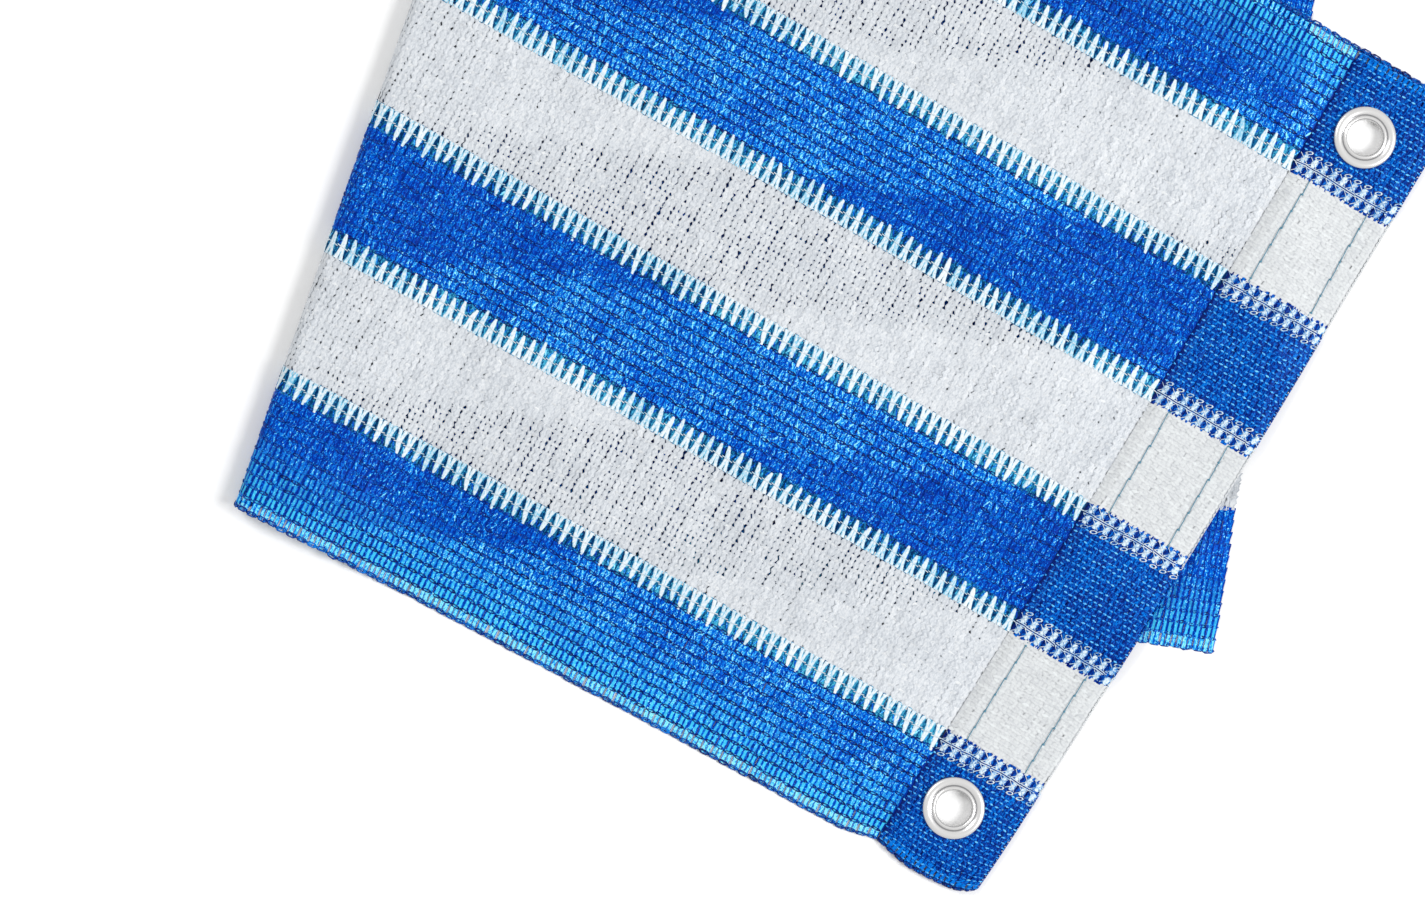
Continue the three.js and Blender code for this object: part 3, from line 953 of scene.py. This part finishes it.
for slant in (-1, 1):
    lace = strand("lace", 1.15 * HEM_COURSE, radius=0.14, height=-0.6)
    shape(lace, everywhere, bpy.ops.transform.rotate, value=slant * LACE_ANGLE, orient_axis="Z",
          center_override=(HEM_COURSE / 2, 0, 0))
    shape(lace, everywhere, bpy.ops.transform.translate, value=(0, ROW_PITCH / 2, 0))
    laces.append(lace)
edge_bump = tape_strip("edge bump", length=1.9, widths=(0.5, 1.6, 0.5), crown=-0.3)
shape(edge_bump, everywhere, bpy.ops.transform.translate, value=(0, 0.1, -0.32))

HEM_SEED = 400
BLOCK_SEED = 500
LACE_SEED = 600
RING_SEED = 700
HEM_KNIT = {
    "blue": (hem_blue, dash_blue, hem_dash_blue),
    "white": (hem_white, dash_white, hem_white),
}
hem_plies = []
hem_stitches = []
for start, end, colour in STRIPE_SPANS:
    tape, dash, dash_tape = HEM_KNIT[colour]
    low, high = leg_rows(start, end, colour)
    part, flat = worked_legs(blue_leg, low, high - low, HEM_CLOTH, HEM_SEED + start)
    paint(part, "sheer", 0)
    flat[:, 2] *= -1
    lay_on_hem(part, flat, tape)
    hem_plies.append(part)
    low = start + 1 if start > 0 else 0
    high = end - 1 if end < WIDTH_ROWS else end
    part, flat = worked_dashes(dash, low, high - low, HEM_SEED + start + 1)
    lay_on_hem(part, flat, dash_tape)
    hem_stitches.append(part)

for row, below in zip(BOUNDARIES, STRIPES):
    facing = 1 if below == "blue" else -1
    for block_row in (row - 1, row):
        part, flat = worked_teeth(block, block_row, 1, TOP_PLY, BLOCK_SEED + block_row)
        lay_on_hem(part, flat, hem_block)
        hem_stitches.append(part)
    for model, offset in (
        (back_ring, -BACK_RING_ROW * facing), (back_strand, STRAND_GAP), (back_strand, -STRAND_GAP),
        (laces[0], 0), (laces[1], 0), (laces[0], -1), (laces[1], -1),
    ):
        part, flat = worked_loops(model, row + offset, 1, TOP_PLY, LACE_SEED + row)
        lay_on_hem(part, flat, hem_block)
        hem_stitches.append(part)

for start, end, colour in STRIPE_SPANS:
    part = repeated(edge_bump, 1, 2 * (end - start), 0, ROW_PITCH / 2)
    flat = points_of(part)
    flat[:, 0] += HEM_PLY + HEM_TURN / 2
    flat[:, 1] += start * ROW_PITCH
    lay_on_hem(part, flat, HEM_KNIT[colour][0])
    hem_stitches.append(part)

for ring_row in (0, WIDTH_ROWS):
    part, flat = worked_loops(ring, ring_row, 1, HEM_CLOTH, RING_SEED + ring_row)
    flat[:, 2] *= -1
    lay_on_hem(part, flat, blue_chain)
    hem_stitches.append(part)

hem = joined("hem", hem_plies)
hem_back = joined("hem_back_stitches", hem_stitches)
BARREL_CLEARANCE = 7.4
for piece in (hem, hem_back):
    for centre in EYELETS.values():
        axis = (centre - REST_CENTRE) * MM
        shape(piece, lambda place: math.dist(place[:2], axis) < BARREL_CLEARANCE * MM,
              bpy.ops.mesh.delete, type="VERT")
    stand_in(piece, "hem_strip")

# The lockstitch: two lines of blue-grey sewing thread along the hem, one near its inner edge
# and one near its outer fold, each stitch arched over the cloth and pulled down at its ends.
# It stands proud on the white stripes and sinks into the blue ones.
STITCH = 7.05
STITCH_STEPS = 6
STITCH_SLANT = 0.3
STITCH_ARCH = 0.3
STITCH_WANDER = 0.1
THREAD_HEIGHT = 0.42
THREAD_SINK = 1.7
THREAD_RADIUS = 0.16
KNOT_RADIUS = 0.46
INNER_LINE = HEM_ROUND - 7.5
OUTER_LINE = HEM_TOP + 7.2
sewing_blue = bpy.data.materials.new("sewing thread")
sewing_blue.use_nodes = True
sewing_shader = sewing_blue.node_tree.nodes["Principled BSDF"]
sewing_shader.inputs["Base Color"].default_value = (0.08, 0.24, 0.34, 1)
sewing_shader.inputs["Roughness"].default_value = 0.55

stitch = strand("stitch", STITCH, THREAD_RADIUS, 0, STITCH_STEPS)
shape(stitch, everywhere, bpy.ops.transform.rotate, value=-math.pi / 2, orient_axis="Z",
      center_override=(0, 0, 0))
bpy.ops.object.select_all(action="DESELECT")
bpy.ops.mesh.primitive_uv_sphere_add(
    segments=6, ring_count=4, radius=KNOT_RADIUS, location=(0, 0, 0))
knot = bpy.context.object
sewn = int(WIDTH / STITCH)
lockstitch_parts = []
for line, seed in ((INNER_LINE, 801), (OUTER_LINE, 802)):
    for model in (stitch, knot):
        part, flat, copy, draw = scattered(model, 1, sewn, 0, seed, across=STITCH, draws=3)
        fraction = np.clip(flat[:, 1] / STITCH - copy, 0, 1)
        arch = STITCH_ARCH * np.sin(math.pi * fraction) if model is stitch else 0
        flat[:, 0] += line + STITCH_SLANT * (fraction - 0.5) + STITCH_WANDER * draw[:, 0]
        flat[:, 1] += (WIDTH - sewn * STITCH) / 2
        sunk = 1 - on_white(flat[:, 1], inset=1, margin=1)
        flat[:, 2] -= (THREAD_HEIGHT + arch) * (1 - THREAD_SINK * sunk)
        place_knit(part, flat, lay_hem, sewing_blue)
        lockstitch_parts.append(part)
lockstitch = joined("lockstitch", lockstitch_parts)
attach(lockstitch, "root")

# The eyelets: one piece each of bright pressed aluminium, a domed flange with a rolled bead,
# a barrel through both plies, and a lip flared into the washer below.
SEAT = 4.0
CREST = 5.4
EYELET_PROFILE = (
    (7.0, SEAT), (10.8, SEAT), (11.0, SEAT + 0.25), (10.98, SEAT + 0.5), (10.75, SEAT + 0.85),
    (10.3, SEAT + 1.12), (9.7, SEAT + 1.24), (9.0, SEAT + 1.18), (8.4, SEAT + 0.98),
    (8.1, SEAT + 0.7), (7.85, SEAT + 0.66), (7.65, SEAT + 1.0), (7.35, SEAT + 1.32),
    (7.0, CREST), (6.75, SEAT + 1.3), (6.55, SEAT + 0.95), (6.45, SEAT + 0.55), (6.3, SEAT - 0.1),
    (6.3, 0.9), (6.6, 0.4), (7.2, 0.1), (8.2, 0.02), (8.2, 0.14), (7.3, 0.5), (7.0, 0.9),
    (7.0, SEAT),
)
# Radii, in millimetres, of rings of painted shade: the groove between flange and bead, the bore's
# mouth and the flange's outer rim.
SHADED_RINGS = ((7.8, 8.2), (6.4, 6.6), (10.9, 11.1))
AROUND = 96
WELD = 0.01 * MM
SMOOTH_ANGLE = math.radians(50)


def turned(name, profile, material):
    """A ring turned about its axis: a circle drawn out from one profile point to the next."""
    bpy.ops.object.select_all(action="DESELECT")
    bpy.ops.mesh.primitive_circle_add(
        vertices=AROUND, radius=profile[0][0] * MM, fill_type="NOTHING",
        location=(0, 0, 0))
    made = bpy.context.object
    made.name = name
    made.data.name = name
    bpy.ops.object.mode_set(mode="EDIT")
    bpy.ops.mesh.select_all(action="SELECT")
    bpy.ops.transform.translate(value=(0, 0, profile[0][1] * MM))
    for (radius, height), (wider, higher) in zip(profile, profile[1:]):
        bpy.ops.mesh.extrude_edges_move(
            TRANSFORM_OT_translate={"value": (0, 0, (higher - height) * MM)})
        bpy.ops.transform.resize(
            value=(wider / radius, wider / radius, 1), center_override=(0, 0, higher * MM))
    bpy.ops.mesh.select_all(action="SELECT")
    bpy.ops.mesh.remove_doubles(threshold=WELD)
    bpy.ops.mesh.normals_make_consistent(inside=False)
    bpy.ops.object.mode_set(mode="OBJECT")
    # Painted shade: darker metal in the groove, at the bore's mouth and round the outer rim.
    radius = np.linalg.norm(points_of(made)[:, :2], axis=1) / MM
    in_shade = [(radius > low) & (radius < high) for low, high in SHADED_RINGS]
    paint(made, "ring_shade", np.any(in_shade, axis=0))
    made.data.materials.append(material)
    bpy.ops.object.shade_smooth_by_angle(angle=SMOOTH_ANGLE)
    return made


def set_down(piece, centre):
    """Moves a piece's points, not its origin, to an eyelet's axis."""
    shift = (centre - REST_CENTRE) * MM
    shape(piece, everywhere, bpy.ops.transform.translate, value=(shift[0], shift[1], 0))


aluminium = bpy.data.materials.new("bright aluminium")
aluminium.use_nodes = True
metal_shader = aluminium.node_tree.nodes["Principled BSDF"]
metal_shader.inputs["Metallic"].default_value = 0.6
metal_shader.inputs["Roughness"].default_value = 0.25
metal_tree = aluminium.node_tree
# The rings of painted shade turn the metal dark grey.
ring_shade_mix = metal_tree.nodes.new("ShaderNodeMix")
ring_shade_mix.data_type = "RGBA"
ring_shade_mix.inputs["A"].default_value = (0.8, 0.795, 0.79, 1)
ring_shade_mix.inputs["B"].default_value = (0.3, 0.3, 0.31, 1)
metal_tree.links.new(attribute(metal_tree, "ring_shade"), ring_shade_mix.inputs["Factor"])
metal_tree.links.new(ring_shade_mix.outputs["Result"], metal_shader.inputs["Base Color"])

for place, centre in EYELETS.items():
    eyelet = turned(f"{place}_eyelet", EYELET_PROFILE, aluminium)
    set_down(eyelet, centre)
    stand_in(eyelet, f"eyelet_{place}")

# The washers: a flat aluminium ring under the hem at each eyelet, clinched by its lip.
WASHER_PROFILE = (
    (8.6, 0.05), (10.3, 0.0), (10.6, 0.3), (10.4, 0.9), (7.4, 0.9), (7.4, 0.75), (8.6, 0.25),
    (8.6, 0.05),
)
for place, centre in EYELETS.items():
    washer = turned(f"{place}_washer", WASHER_PROFILE, aluminium)
    set_down(washer, centre)
    stand_in(washer, f"washer_{place}")

# The small models have all been copied, and are taken away.
for model in (blue_leg, white_leg, blue_loop, white_loop, stroke, tooth, thread, ring, link,
              dash_blue, dash_white, block, back_ring, back_strand, *laces, edge_bump, stitch, knot):
    bpy.data.objects.remove(model)
